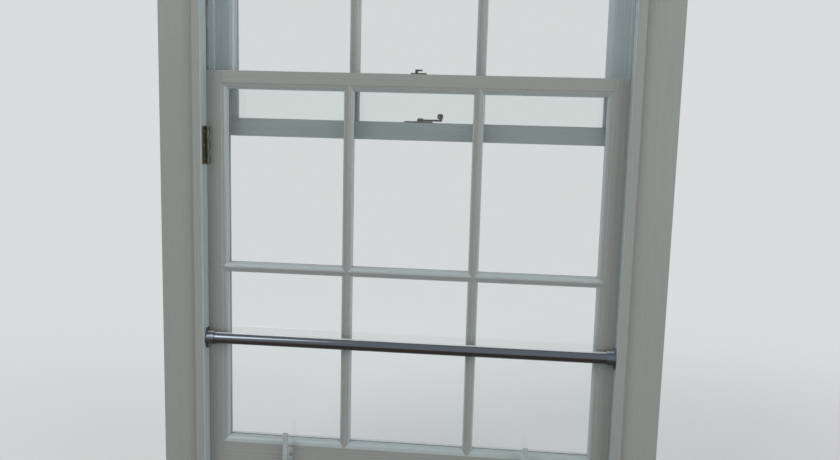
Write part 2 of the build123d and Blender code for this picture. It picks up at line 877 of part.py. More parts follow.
# Parting beads, in grooves between the two sashes' runs
with BuildPart() as parting_bead:
    low = (jamb_x - parting_reach, parting_y, sill_seat)
    block(low, (jamb_x + parting_groove, parting_y + parting_t, head_z))
    room_edges = edges().filter_by(Axis.Z).group_by(Axis.X)[0]
    fillet(room_edges, arris)
    add(sill.part, mode=Mode.SUBTRACT)
save_pair(parting_bead, "parting_bead")

with BuildPart() as parting_bead_head:
    low = (-jamb_x, parting_y, head_z)
    block(low, (jamb_x, parting_y + parting_t, head_z + parting_groove))
    inner_x = jamb_x - parting_reach
    low = (-inner_x, parting_y, head_z - parting_reach)
    block(low, (inner_x, parting_y + parting_t, head_z))
save(parting_bead_head, "parting_bead_head")


def bead_section(plane):
    """Staff bead: rounded on its two room-side corners; u across its face, v outwards."""
    with BuildSketch(plane) as section:
        with BuildLine():
            Line((staff_w, lining_t), (0, lining_t))
            Line((0, lining_t), (0, staff_round - staff_proud))
            quarter((0, staff_round - staff_proud), (staff_round, -staff_proud), (0, -staff_proud))
            Line((staff_round, -staff_proud), (staff_w - arris, -staff_proud))
            quarter(
                (staff_w - arris, -staff_proud),
                (staff_w, arris - staff_proud),
                (staff_w, -staff_proud),
            )
            Line((staff_w, arris - staff_proud), (staff_w, lining_t))
        make_face()
    return section.sketch


def socket_screws(mode=Mode.ADD):
    """Screws above and below the right-hand end of the safety bar."""
    for step in (-plate_screw, plate_screw):
        screw((bead_x - plate_t, tube_y, tube_z + step), (1, 0, 0), mode)


# Staff beads: mitred at the head, standing on the sill, with a bead between them
tube_z = lower_sight + tube_height
mitre = Plane(origin=(bead_x, 0, head_z - staff_reach), z_dir=(1, 0, -1))
with BuildPart() as staff_bead:
    plane = Plane(origin=(bead_x, 0, sill_h), x_dir=(1, 0, 0), z_dir=(0, 0, 1))
    extrude(bead_section(plane), amount=staff_top - sill_h)
    split(bisect_by=mitre, keep=Keep.TOP)
    block((jamb_x, 0, sill_seat), (bead_out_x, lining_t, sill_h))
    socket_screws(Mode.SUBTRACT)
save_pair(staff_bead, "staff_bead")

with BuildPart() as staff_bead_head:
    corner = (bead_out_x, 0, head_z - staff_reach)
    plane = Plane(origin=corner, x_dir=(0, 0, 1), z_dir=(-1, 0, 0))
    extrude(bead_section(plane), amount=2 * bead_out_x)
    split(bisect_by=mitre, keep=Keep.BOTTOM)
    other = Plane(origin=(-bead_x, 0, head_z - staff_reach), z_dir=(-1, 0, -1))
    split(bisect_by=other, keep=Keep.BOTTOM)
save(staff_bead_head, "staff_bead_head")

with BuildPart() as staff_bead_sill:
    plane = Plane(origin=(-bead_x, 0, sill_h + staff_w), x_dir=(0, 0, -1), z_dir=(1, 0, 0))
    extrude(bead_section(plane), amount=2 * bead_x)
save(staff_bead_sill, "staff_bead_sill")

# Safety bar: a tube in two flanged sockets
with BuildPart() as bar_socket:
    with BuildSketch(Plane(origin=(bead_x, tube_y, tube_z), x_dir=(0, 0, 1), z_dir=(-1, 0, 0))):
        Ellipse(plate_h / 2, plate_w / 2)
    extrude(amount=plate_t)
    rod((bead_x, tube_y, tube_z), (-1, 0, 0), socket_d / 2, socket_l)
    bore_x = bead_x - plate_t
    rod((bore_x, tube_y, tube_z), (-1, 0, 0), tube_d / 2, socket_l, Mode.SUBTRACT)
    socket_screws(Mode.SUBTRACT)
save_pair(bar_socket, "bar_socket")

with BuildPart() as safety_bar:
    tube_half = bead_x - plate_t - tube_gap
    rod((-tube_half, tube_y, tube_z), (1, 0, 0), tube_d / 2, 2 * tube_half)
    bore = tube_d / 2 - tube_wall
    rod((-tube_half, tube_y, tube_z), (1, 0, 0), bore, 2 * tube_half, Mode.SUBTRACT)
save(safety_bar, "safety_bar")

with BuildPart() as frame_screws:
    case_screws()
    socket_screws()
    mirror(about=Plane.YZ)
save(frame_screws, "frame_screws")

# Hinge leaf with its knuckles and pin, on the inner face of the left staff bead
hinge_z = upper_z - hinge_drop
with BuildPart() as hinge_leaf:
    low = (-bead_x, hinge_y - hinge_leaf_w, hinge_z - hinge_h / 2)
    high = (-bead_x + hinge_leaf_t, hinge_y, hinge_z + hinge_h / 2)
    block(low, high)
    knuckle_x = -bead_x + hinge_knuckle_d / 2
    pitch = hinge_h / hinge_knuckles
    for turn in range(0, hinge_knuckles, 2):
        start = (knuckle_x, hinge_y, hinge_z - hinge_h / 2 + turn * pitch)
        rod(start, (0, 0, 1), hinge_knuckle_d / 2, pitch)
    pin_start = (knuckle_x, hinge_y, hinge_z - hinge_h / 2 - pin_proud)
    rod(pin_start, (0, 0, 1), hinge_pin_d / 2, hinge_h + 2 * pin_proud)
save(hinge_leaf, "hinge_leaf")
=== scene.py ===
"""Finishes a packed box-frame sash window: old gloss paint, drawn glass, putty, metal and cord."""
from math import asin, cos, pi, radians, sin

import bmesh
import bpy
from bpy.props import FloatProperty, FloatVectorProperty, IntProperty, PointerProperty
from mathutils import Matrix, Vector


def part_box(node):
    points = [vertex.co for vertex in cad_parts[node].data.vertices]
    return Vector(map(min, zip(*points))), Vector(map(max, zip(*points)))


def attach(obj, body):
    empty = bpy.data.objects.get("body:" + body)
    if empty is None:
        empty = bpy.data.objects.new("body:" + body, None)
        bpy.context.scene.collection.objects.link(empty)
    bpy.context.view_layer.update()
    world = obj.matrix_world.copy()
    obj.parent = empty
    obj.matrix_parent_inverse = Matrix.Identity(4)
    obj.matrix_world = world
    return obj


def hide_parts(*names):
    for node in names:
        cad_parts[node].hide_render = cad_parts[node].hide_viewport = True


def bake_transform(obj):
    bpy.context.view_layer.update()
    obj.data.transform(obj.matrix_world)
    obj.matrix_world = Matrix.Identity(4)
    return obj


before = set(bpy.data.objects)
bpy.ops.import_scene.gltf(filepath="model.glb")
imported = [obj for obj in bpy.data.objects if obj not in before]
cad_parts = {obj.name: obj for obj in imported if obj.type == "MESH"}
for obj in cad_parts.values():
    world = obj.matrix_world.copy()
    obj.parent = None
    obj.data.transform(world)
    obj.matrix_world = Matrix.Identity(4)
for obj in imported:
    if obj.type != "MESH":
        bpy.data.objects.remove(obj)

bl_info = {
    "name": "Sash Window Finishes",
    "version": (1, 0, 0),
    "blender": (4, 5, 0),
    "location": "View3D > Sidebar > Sash Window",
    "description": "Paints, glazes, cords and lights a packed box-frame sash window",
    "category": "Object",
}

# Timber members by the way their grain and the painter's brush run
UPRIGHT_TIMBER = (
    "pulley_stile_left", "pulley_stile_right", "pocket_pieces",
    "inner_lining_left", "inner_lining_right", "outer_lining_left", "outer_lining_right",
    "parting_bead_left", "parting_bead_right", "staff_bead_left", "staff_bead_right",
    "lower_stile_left", "lower_stile_right", "lower_upright_bars",
    "upper_stile_left", "upper_stile_right", "upper_upright_bars",
)
LEVEL_TIMBER = (
    "sill", "pulley_head", "inner_lining_head", "outer_lining_head", "parting_bead_head",
    "staff_bead_head", "staff_bead_sill",
    "lower_bottom_rail", "lower_meeting_rail", "lower_cross_bars",
    "upper_top_rail", "upper_meeting_rail", "upper_cross_bars",
)
BARE_TIMBER = ("back_linings", "wagtails")

# Members whose room faces are also painted paler and bluer, as painted daylight
DAYLIT_TIMBER = (
    "upper_stile_left", "upper_stile_right", "upper_top_rail", "upper_meeting_rail",
    "parting_bead_left", "parting_bead_right", "parting_bead_head",
)
SASHES = ("lower", "upper")
SIDES = ("left", "right")

# Which way along X leads out of the window on each side
OUTWARD = {"left": -1, "right": 1}

# The painter's brush, in marks per metre across and along the grain; how many times broader the
# other unevenness is, and how much deeper its sweep is than the marks
BRUSH_ACROSS = 900.0
BRUSH_ALONG = 14.0
SWEEP_BROADER = 5
SWELL_BROADER = 16
PATCHES_BROADER = 90
SWEEP_DEEPER = 3

# Faces tinted by the way that they face: painted daylight, a paler and bluer tone that stands in
# for light, on faces turned from the room and on faces turned up, and weathered paint on faces out
# of doors; to which colour, the axis that they turn along, where on it the change starts and is
# full, and how far it goes
DAYLIGHT_AND_WEATHERED_FACES = (
    ("painted_daylight", "Y", -0.98, -0.45, 1.0),
    ("painted_daylight", "Z", 0.06, 0.18, 0.6),
    ("chalked", "Y", 0.75, 0.97, 0.8),
)

# Rounding the arrises, in metres and degrees
WELD_DISTANCE = 0.00001
FLAT_WITHIN = 0.5
ARRIS_FROM = 50
ARRIS_SEGMENTS = 2
FACE_WEIGHT = 80

# How much deeper the broad waves in the glass are than the fine ones
BROAD_WAVES = 6

# Cords, in metres: their radius, the steps along them, the tail in the stile, the least stretch
# below the wheel and the knot in the weight. The last three are the steps round the knot, a glance
# along it in radians, and the points for each strand of the plait
CORD_RADIUS = 0.003
CORD_STEP = 0.0015
CORD_TAIL = 0.260
KNOT_DEPTH = 0.034
KNOT_CORD = 0.0021
KNOT_SIZE = 0.0011
KNOT_STEPS = 60
KNOT_GLANCE = 0.01
PLAIT_DETAIL = 6

# Screws and nails, in metres; a profile gives depths below the head and radii
SCREW_SIDES = 20
SCREW_PROFILE = ((0.0007, 0.0032), (0.0020, 0.0018), (0.0165, 0.0015), (0.0170, 0.0004))
SLOT_WIDTH = 0.0009
SLOT_TURN = 1.1
HEAD_PROUD = 0.0001
NAIL_PROFILE = (
    (-0.0006, 0.0024), (0.0, 0.0028), (0.0003, 0.0028), (0.0004, 0.0010), (0.0090, 0.0008),
)
NAILS = 3
NAIL_START = 0.020
NAIL_PITCH = 0.045

# Where the fixings lie on the hinge's leaf, the pockets and the fastener's plate
LEAF_THICK = 0.0022
LEAF_SCREW_IN = 0.006
LEAF_STAGGER = 0.003
LEAF_SCREW_PITCH = 0.027
POCKET_SCREW_IN = 0.014
PLATE_SCREW_IN = 0.006
PLATE_THICK = 0.0025

# How dull the plating has gone, from none to all
TUBE_DULLNESS = 0.14
SOCKET_DULLNESS = 0.42

# The floor's disc, in sides and metres
FLOOR_SIDES = 96
FLOOR_DROP = 0.0005

# Lamps: name, setting with its power, place, the height on the window that it faces, and width
LAMPS = (
    ("key", "key", (-2.4, -3.0, 3.2), 0.9, 2.4),
    ("fill", "fill", (2.8, -2.6, 1.6), 0.8, 2.4),
    ("daylight", "back", (-0.6, 3.6, 3.4), 0.9, 3.6),
)

# Width of the camera's sensor, in millimetres
SENSOR_WIDTH = 36.0


def colour_setting(name, description, default):
    """A colour that a user may change."""
    return FloatVectorProperty(
        name=name, description=description, default=default, min=0.0, max=1.0,
        subtype="COLOR", size=3,
    )


def length_setting(name, description, default):
    """A size in metres that a user may change."""
    return FloatProperty(
        name=name, description=description, default=default, min=0.0,
        precision=5, unit="LENGTH",
    )


def share_setting(name, description, default):
    """A share from none to all that a user may change."""
    return FloatProperty(
        name=name, description=description, default=default, min=0.0, max=1.0,
        subtype="FACTOR",
    )


def strength_setting(name, description, default):
    """The strength of a light that a user may change."""
    return FloatProperty(name=name, description=description, default=default, min=0.0)


def angle_setting(name, description, degrees):
    """An angle that a user may change, given here in degrees."""
    return FloatProperty(
        name=name, description=description, default=radians(degrees), unit="ROTATION",
    )


class WINDOW_PG_paint(bpy.types.PropertyGroup):
    """Old oil gloss on the timber."""

    colour: colour_setting("Paint", "Colour of the gloss paint", (0.27, 0.294, 0.277))
    aged: colour_setting("Aged paint", "Colour of the yellowed patches", (0.28, 0.29, 0.255))
    # Painted daylight: the paler, bluer tone that stands in for light on faces turned from the room
    # and up
    painted_daylight: colour_setting(
        "Bleached paint", "Colour of faces turned to the daylight", (0.455, 0.53, 0.54),
    )
    chalked: colour_setting(
        "Chalked paint", "Colour of the weathered faces out of doors", (0.47, 0.505, 0.50),
    )
    # How far the daylit members are painted paler all over, as painted daylight
    daylit: share_setting("Daylit", "How far the daylit members' room faces are bleached too", 0.85)
    grime: colour_setting("Grime", "Dust and hand marks", (0.20, 0.19, 0.17))
    timber: colour_setting("Timber", "Colour of sawn softwood", (0.48, 0.32, 0.17))
    roughness: share_setting("Roughness", "How dull the gloss has gone", 0.26)
    brush_depth: length_setting("Brush marks", "Depth of the marks that the brush left", 0.00016)
    swell_depth: length_setting("Swell", "Depth of the unevenness of many coats", 0.00025)
    arris: length_setting("Arris", "How far paint and wear have rounded the edges", 0.0009)


class WINDOW_PG_glass(bpy.types.PropertyGroup):
    """Drawn sheet glass and the putty that holds it."""

    tint: colour_setting("Glass", "Tint of the sheet glass", (0.93, 0.965, 0.95))
    wave_depth: length_setting("Wave", "Depth of the waves in the sheet", 0.00008)
    putty: colour_setting("Putty", "Colour of the painted putty", (0.46, 0.49, 0.50))


class WINDOW_PG_metal(bpy.types.PropertyGroup):
    """Bar, fastener, lifts, pulleys, weights and screws."""

    # Used only along the tube's top, where it makes a painted highlight
    bright: colour_setting("Tube", "Colour of the polished safety bar", (0.90, 0.93, 0.96))
    clouded: colour_setting(
        "Clouded tube", "Colour of its front, where the polish has gone", (0.13, 0.15, 0.175),
    )
    # A painted reflection, dark, in a band below the tube's front
    shaded: colour_setting(
        "Shaded tube", "Colour of the band below its front", (0.055, 0.040, 0.030),
    )
    bronze: colour_setting("Bronze", "Colour of the tarnished fastener", (0.085, 0.078, 0.070))
    olive: colour_setting("Hinge", "Colour of the old hinge", (0.085, 0.090, 0.060))
    rubbed: colour_setting("Rubbed bronze", "Where hands have rubbed it bright", (0.30, 0.24, 0.16))
    brass: colour_setting("Brass", "Colour of the pulley wheels", (0.52, 0.40, 0.20))
    iron: colour_setting("Iron", "Colour of the cast weights", (0.075, 0.068, 0.062))
    rust: colour_setting("Rust", "Colour of rust on the iron", (0.17, 0.085, 0.045))
    worn: colour_setting("Worn iron", "Brown metal where the paint has chipped", (0.21, 0.15, 0.10))
    steel: colour_setting("Steel", "Colour of screws and nails", (0.42, 0.41, 0.39))


class WINDOW_PG_cord(bpy.types.PropertyGroup):
    """Plaited sash cord."""

    colour: colour_setting("Cord", "Colour of the cotton, painted over in part", (0.27, 0.29, 0.27))
    plait_depth: length_setting("Plait depth", "How far the plait stands up", 0.00025)
    plait_pitch: length_setting("Plait pitch", "Length of one turn of the plait", 0.018)
    plait_strands: IntProperty(
        name="Strands", description="Strands round the cord", default=8, min=3,
    )


class WINDOW_PG_stage(bpy.types.PropertyGroup):
    """Floor, lamps and camera."""

    floor: colour_setting("Floor", "Colour of the floor and backdrop", (0.70, 0.71, 0.72))
    floor_radius: length_setting("Floor radius", "How far the floor reaches", 40.0)
    floor_plain: length_setting(
        "Plain floor", "How far out the floor begins to fade into the air", 0.9,
    )
    floor_faded: length_setting("Faded floor", "How far out it has faded", 2.6)
    key: strength_setting("Key lamp", "Power of the key lamp in watts", 74.0)
    fill: strength_setting("Fill lamp", "Power of the fill lamp in watts", 54.0)
    back: strength_setting("Back lamp", "Power of the lamp out of doors in watts", 140.0)
    air: strength_setting("Air", "Strength of the light from all round", 0.42)
    lens: FloatProperty(
        name="Lens", description="Focal length of the camera in millimetres", default=35.82,
    )
    eye: FloatVectorProperty(
        name="Eye", description="Where the camera stands", default=(0.1815, -1.6494, 0.9502),
        unit="LENGTH",
    )
    dip: angle_setting("Dip", "How far down it looks", 8.25)
    swing: angle_setting("Swing", "How far it looks to the left", 5.51)
    tilt: angle_setting("Tilt", "How far it leans to the left", 1.47)


class WINDOW_PG_settings(bpy.types.PropertyGroup):
    """All that a user would change."""

    paint: PointerProperty(type=WINDOW_PG_paint)
    glass: PointerProperty(type=WINDOW_PG_glass)
    metal: PointerProperty(type=WINDOW_PG_metal)
    cord: PointerProperty(type=WINDOW_PG_cord)
    stage: PointerProperty(type=WINDOW_PG_stage)


def settings():
    """The scene's own copy of the settings."""
    return bpy.context.scene.sash_window


def toned(colour, share):
    """A colour made darker, or paler where the share is above one."""
    return [min(1.0, each * share) for each in colour]


class Finish:
    """A material under construction: its node tree, its surface shader and shorthands for both."""

    def __init__(self, name):
        self.material = bpy.data.materials.new(name)
        self.material.use_nodes = True
        self.nodes = self.material.node_tree.nodes
        self.links = self.material.node_tree.links
        self.surface = self.nodes["Principled BSDF"]
        self.place = self.nodes.new("ShaderNodeTexCoord").outputs["Object"]

    def set(self, **sockets):
        """Give the surface's sockets plain values; an underscore stands for a space."""
        for name, value in sockets.items():
            socket = self.surface.inputs[name.replace("_", " ")]
            socket.default_value = (*value, 1.0) if hasattr(value, "__len__") else value

    def join(self, source, socket):
        """Link a source, or set a plain value, on a socket."""
        if hasattr(source, "is_output"):
            self.links.new(source, socket)
        elif hasattr(source, "__len__") and len(source) == 3 and socket.type == "RGBA":
            socket.default_value = (*source, 1.0)
        else:
            socket.default_value = source

    def scaled(self, scale):
        """The object's own coordinates, scaled along each axis."""
        node = self.nodes.new("ShaderNodeMapping")
        node.inputs["Scale"].default_value = scale
        self.links.new(self.place, node.inputs["Vector"])
        return node.outputs["Vector"]

    def noise(self, scale, detail=3.0, roughness=0.55, distortion=0.0):
        """Cloudy noise; scale is one number, or one for each axis, in turns per metre."""
        node = self.nodes.new("ShaderNodeTexNoise")
        each = scale if hasattr(scale, "__len__") else (scale,) * 3
        self.links.new(self.scaled(each), node.inputs["Vector"])
        node.inputs["Scale"].default_value = 1.0
        node.inputs["Detail"].default_value = detail
        node.inputs["Roughness"].default_value = roughness
        node.inputs["Distortion"].default_value = distortion
        return node.outputs["Fac"]

    def ramp(self, source, low, high, start=0.0, end=1.0):
        """Stretch a value between two limits, smoothly, onto start to end."""
        node = self.nodes.new("ShaderNodeMapRange")
        node.interpolation_type = "SMOOTHSTEP"
        self.join(source, node.inputs["Value"])
        limits = {"From Min": low, "From Max": high, "To Min": start, "To Max": end}
        for name, value in limits.items():
            node.inputs[name].default_value = value
        return node.outputs["Result"]

    def sum(self, operation, first, second):
        """One step of arithmetic."""
        node = self.nodes.new("ShaderNodeMath")
        node.operation = operation
        self.join(first, node.inputs[0])
        self.join(second, node.inputs[1])
        return node.outputs[0]

    def blend(self, share, first, second):
        """One colour over another."""
        node = self.nodes.new("ShaderNodeMix")
        node.data_type = "RGBA"
        self.join(share, node.inputs["Factor"])
        self.join(first, node.inputs[6])
        self.join(second, node.inputs[7])
        return node.outputs[2]

    def facing(self, axis):
        """How far the surface faces along an axis, from -1 to 1."""
        split = self.nodes.new("ShaderNodeSeparateXYZ")
        geometry = self.nodes.new("ShaderNodeNewGeometry")
        self.links.new(geometry.outputs["Normal"], split.inputs["Vector"])
        return split.outputs[axis]

    def bump(self, height, depth):
        """Raise the surface by a height map, over what was raised before."""
        node = self.nodes.new("ShaderNodeBump")
        node.inputs["Distance"].default_value = depth
        self.join(height, node.inputs["Height"])
        normal = self.surface.inputs["Normal"]
        if normal.is_linked:
            self.links.new(normal.links[0].from_socket, node.inputs["Normal"])
        self.links.new(node.outputs["Normal"], normal)

    def colour(self, source):
        """Colour the surface."""
        self.join(source, self.surface.inputs["Base Color"])

    def rough(self, source):
        """Roughen the surface."""
        self.join(source, self.surface.inputs["Roughness"])


def coat_of_paint(name, grain, edges, daylit):
    """Old gloss, brushed along the grain; faces turned from the room and up get painted daylight, a
    paler bluer tone; on edges it is thinner, dirtier and chipped.
    """
    paint = settings().paint
    finish = Finish(name)
    marks = tuple(BRUSH_ALONG if axis == grain else BRUSH_ACROSS for axis in range(3))

    def brushed(broader, detail=2.0):
        return finish.noise(tuple(each / broader for each in marks), detail=detail)

    brush, sweep, swell = brushed(1), brushed(SWEEP_BROADER), brushed(SWELL_BROADER)
    patches = brushed(PATCHES_BROADER, detail=1.0)
    specks = finish.noise(420.0, detail=1.0)
    tone = finish.blend(finish.ramp(patches, 0.35, 0.65, 0.0, 0.4), paint.colour, paint.aged)
    # Daylit members are painted paler all over, as painted daylight
    tone = finish.blend(daylit, tone, paint.painted_daylight)
    # Painted daylight on faces turned from the room and up; weathered paint on faces out of doors
    for colour, axis, start, end, most in DAYLIGHT_AND_WEATHERED_FACES:
        share = finish.ramp(finish.facing(axis), start, end, 0.0, most)
        tone = finish.blend(share, tone, getattr(paint, colour))
    streaked = finish.blend(finish.ramp(sweep, 0.35, 0.7, 0.0, 0.10), tone, paint.grime)
    ledge = finish.ramp(finish.facing("Z"), 0.6, 0.95)
    settled = finish.sum("MULTIPLY", ledge, finish.ramp(swell, 0.3, 0.75, 0.12, 0.34))
    dusty = finish.blend(settled, streaked, paint.grime)
    if edges:
        rubbed = finish.ramp(finish.noise(120.0, detail=3.0), 0.46, 0.62, 0.04, 0.22)
        dusty = finish.blend(rubbed, dusty, paint.grime)
        chips = finish.ramp(finish.noise(95.0, detail=4.0, roughness=0.7), 0.665, 0.70)
        dusty = finish.blend(chips, dusty, paint.timber)
    finish.colour(dusty)
    finish.rough(finish.ramp(sweep, 0.3, 0.7, paint.roughness - 0.05, paint.roughness + 0.10))
    finish.bump(swell, paint.swell_depth)
    finish.bump(sweep, paint.brush_depth * SWEEP_DEEPER)
    finish.bump(brush, paint.brush_depth)
    finish.bump(finish.ramp(specks, 0.7, 0.8), paint.brush_depth)
    return finish.material


def sawn_softwood():
    """Bare softwood with its rings drawn out along the board."""
    paint = settings().paint
    finish = Finish("sawn softwood")
    rings = finish.noise((60.0, 60.0, 1.6), detail=3.0, distortion=0.6)
    fibre = finish.noise((700.0, 700.0, 9.0), detail=2.0)
    saw = finish.noise((3.0, 3.0, 260.0), detail=1.0)
    pale, late = toned(paint.timber, 1.25), toned(paint.timber, 0.55)
    boards = finish.blend(finish.ramp(rings, 0.42, 0.60), pale, paint.timber)
    lined = finish.blend(finish.ramp(fibre, 0.45, 0.75, 0.0, 0.5), boards, late)
    finish.colour(lined)
    finish.set(Roughness=0.82)
    finish.bump(saw, 0.0003)
    finish.bump(fibre, 0.00025)
    return finish.material


def sheet_glass():
    """Clear old glass whose faces wave a little."""
    glass = settings().glass
    finish = Finish("sheet glass")
    finish.set(Base_Color=glass.tint, Roughness=0.0, IOR=1.5, Transmission_Weight=1.0)
    finish.bump(finish.noise((9.0, 9.0, 4.0), detail=1.0), glass.wave_depth * BROAD_WAVES)
    finish.bump(finish.noise((45.0, 45.0, 26.0), detail=1.0), glass.wave_depth)
    return finish.material


def knifed_putty():
    """Painted putty: smoother than it is straight, with hair cracks."""
    glass = settings().glass
    paint = settings().paint
    finish = Finish("painted putty")
    lumps = finish.noise(70.0, detail=3.0)
    cracks = finish.ramp(finish.noise(260.0, detail=5.0, roughness=0.7, distortion=1.2), 0.60, 0.64)
    aged = finish.blend(finish.ramp(lumps, 0.4, 0.7, 0.0, 0.2), glass.putty, paint.aged)
    finish.colour(finish.blend(finish.sum("MULTIPLY", cracks, 0.15), aged, paint.grime))
    finish.set(Roughness=0.52)
    finish.bump(lumps, 0.0005)
    finish.bump(cracks, 0.0002)
    return finish.material


def plated_steel(name, dullness):
    """Plating with drag marks: a painted highlight on top, partly dusty, clouded in front, and a
    painted dark reflection in a band below.
    """
    metal = settings().metal
    finish = Finish(name)
    drag = finish.noise((6.0, 500.0, 500.0), detail=2.0)
    smears = finish.noise(30.0, detail=3.0)
    upwards = finish.facing("Z")
    # Painted highlight: the top turns to the bright colour
    above = finish.blend(finish.ramp(upwards, 0.80, 0.95), metal.clouded, metal.bright)
    # Painted reflection: a dark band below the front
    below = finish.blend(finish.ramp(upwards, -0.80, -0.50), metal.clouded, metal.shaded)
    painted_light_bands = finish.blend(finish.ramp(upwards, -0.12, 0.12), below, above)
    clouds = finish.ramp(smears, 0.45, 0.75, dullness * 0.6, dullness)
    finish.colour(finish.blend(clouds, painted_light_bands, metal.clouded))
    # The top turns from metal to a pale diffuse coat, dusty and a painted highlight in one
    dust_and_highlight = finish.ramp(upwards, 0.84, 0.96, 0.0, 0.6)
    finish.join(finish.sum("SUBTRACT", 1.0, dust_and_highlight), finish.surface.inputs["Metallic"])
    finish.rough(finish.ramp(smears, 0.35, 0.7, dullness * 0.5, dullness))
    finish.bump(drag, 0.00002)
    return finish.material


def tarnished_bronze(name, colour):
    """Dark bronze, rubbed lighter where it is handled."""
    metal = settings().metal
    finish = Finish(name)
    cloud = finish.noise(160.0, detail=4.0)
    pits = finish.noise(900.0, detail=2.0)
    finish.colour(finish.blend(finish.ramp(cloud, 0.52, 0.78, 0.0, 0.6), colour, metal.rubbed))
    finish.set(Metallic=0.85)
    finish.rough(finish.ramp(cloud, 0.3, 0.7, 0.55, 0.34))
    finish.bump(pits, 0.00012)
    return finish.material


def turned_brass():
    """Dull turned brass with spots of tarnish."""
    metal = settings().metal
    finish = Finish("turned brass")
    cloud = finish.noise(120.0, detail=4.0)
    brown = toned(metal.brass, 0.45)
    finish.colour(finish.blend(finish.ramp(cloud, 0.45, 0.7), metal.brass, brown))
    finish.set(Metallic=1.0)
    finish.rough(finish.ramp(cloud, 0.3, 0.7, 0.28, 0.5))
    finish.bump(finish.noise(1500.0, detail=1.0), 0.00004)
    return finish.material


def rusted_casting():
    """Sand-cast iron with a bloom of rust."""
    metal = settings().metal
    finish = Finish("rusted casting")
    bloom = finish.noise((40.0, 40.0, 18.0), detail=5.0, roughness=0.65)
    sand = finish.noise(650.0, detail=3.0)
    finish.colour(finish.blend(finish.ramp(bloom, 0.45, 0.62), metal.iron, metal.rust))
    finish.set(Metallic=0.35)
    finish.rough(finish.ramp(bloom, 0.35, 0.65, 0.55, 0.85))
    finish.bump(bloom, 0.0008)
    finish.bump(sand, 0.0004)
    return finish.material


def dull_steel():
    """Screws and nails: plain steel gone grey."""
    metal = settings().metal
    finish = Finish("dull steel")
    cloud = finish.noise(700.0, detail=3.0)
    finish.colour(finish.blend(finish.ramp(cloud, 0.45, 0.7, 0.0, 0.6), metal.steel, metal.rust))
    finish.set(Metallic=0.9, Roughness=0.45)
    finish.bump(cloud, 0.00006)
    return finish.material


def painted_iron():
    """Painted iron that hands and cords have chipped back to the brown metal here and there."""
    metal = settings().metal
    paint = settings().paint
    finish = Finish("painted iron")
    patches = finish.noise(180.0, detail=4.0, roughness=0.65)
    worn = finish.ramp(patches, 0.66, 0.70)
    # In patches the coat is mixed toward the painted daylight tone, so that it reads paler, as if
    # lit
    coat = finish.blend(finish.ramp(patches, 0.4, 0.6, 0.25, 0.65), paint.colour, paint.painted_daylight)
    finish.colour(finish.blend(worn, coat, metal.worn))
    finish.rough(finish.ramp(worn, 0.0, 1.0, 0.34, 0.5))
    finish.bump(finish.ramp(worn, 0.0, 1.0, 1.0, 0.0), 0.0002)
    finish.bump(finish.noise(90.0, detail=2.0), 0.0005)
    return finish.material


def plaited_cotton():
    """Waxed cotton, greyed in patches."""
    cord = settings().cord
    finish = Finish("plaited cotton")
    fibres = finish.noise(1500.0, detail=2.0)
    grey = finish.noise(25.0, detail=3.0)
    dark = toned(cord.colour, 0.6)
    finish.colour(finish.blend(finish.ramp(grey, 0.4, 0.7, 0.0, 0.8), cord.colour, dark))
    finish.set(Roughness=0.85, Sheen_Weight=0.2, Sheen_Roughness=0.5)
    finish.bump(fibres, 0.0002)
    return finish.material


def dress(node, *materials):
    """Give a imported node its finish; a second material is for the edges that soften() makes."""
    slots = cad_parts[node].data.materials
    slots.clear()
    for material in materials:
        slots.append(material)


def soften(node, width):
    """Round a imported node's arrises, by modifiers alone; they take its second material."""
    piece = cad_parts[node]
    piece.data.polygons.foreach_set("use_smooth", [True] * len(piece.data.polygons))
    weld = piece.modifiers.new("weld", "WELD")
    weld.merge_threshold = WELD_DISTANCE
    flat = piece.modifiers.new("flat", "DECIMATE")
    flat.decimate_type = "DISSOLVE"
    flat.angle_limit = radians(FLAT_WITHIN)
    arris = piece.modifiers.new("arris", "BEVEL")
    arris.width = width
    arris.segments = ARRIS_SEGMENTS
    arris.limit_method = "ANGLE"
    arris.angle_limit = radians(ARRIS_FROM)
    arris.use_clamp_overlap = False
    arris.material = 1
    even = piece.modifiers.new("even", "WEIGHTED_NORMAL")
    even.keep_sharp = True
    even.weight = FACE_WEIGHT


class WINDOW_OT_timber(bpy.types.Operator):
    """Paint the timber of the frame and both sashes, and round its arrises."""

    bl_idname = "sash_window.timber"
    bl_label = "Paint the timber"

    def execute(self, context):
        paint = settings().paint
        for members, grain, name in ((UPRIGHT_TIMBER, 2, "upright"), (LEVEL_TIMBER, 0, "level")):
            # Each paint comes in an indoor copy and a paler daylit copy, whose paler tone is
            # painted daylight
            for daylit, painted_lighting in ((0.0, "indoors"), (paint.daylit, "daylit")):
                flats = coat_of_paint(f"gloss paint {name} {painted_lighting}", grain, False, daylit)
                edges = coat_of_paint(f"gloss paint {name} {painted_lighting} edges", grain, True, daylit)
                for node in members:
                    if (node in DAYLIT_TIMBER) == bool(daylit):
                        dress(node, flats, edges)
                        soften(node, paint.arris)
        bare = sawn_softwood()
        for node in BARE_TIMBER:
            dress(node, bare)
        return {"FINISHED"}


class WINDOW_OT_glazing(bpy.types.Operator):
    """Glaze and putty both sashes."""

    bl_idname = "sash_window.glazing"
    bl_label = "Glaze the sashes"

    def execute(self, context):
        glass, putty = sheet_glass(), knifed_putty()
        for sash in SASHES:
            dress(f"{sash}_panes", glass)
            dress(f"{sash}_putty", putty)
        return {"FINISHED"}


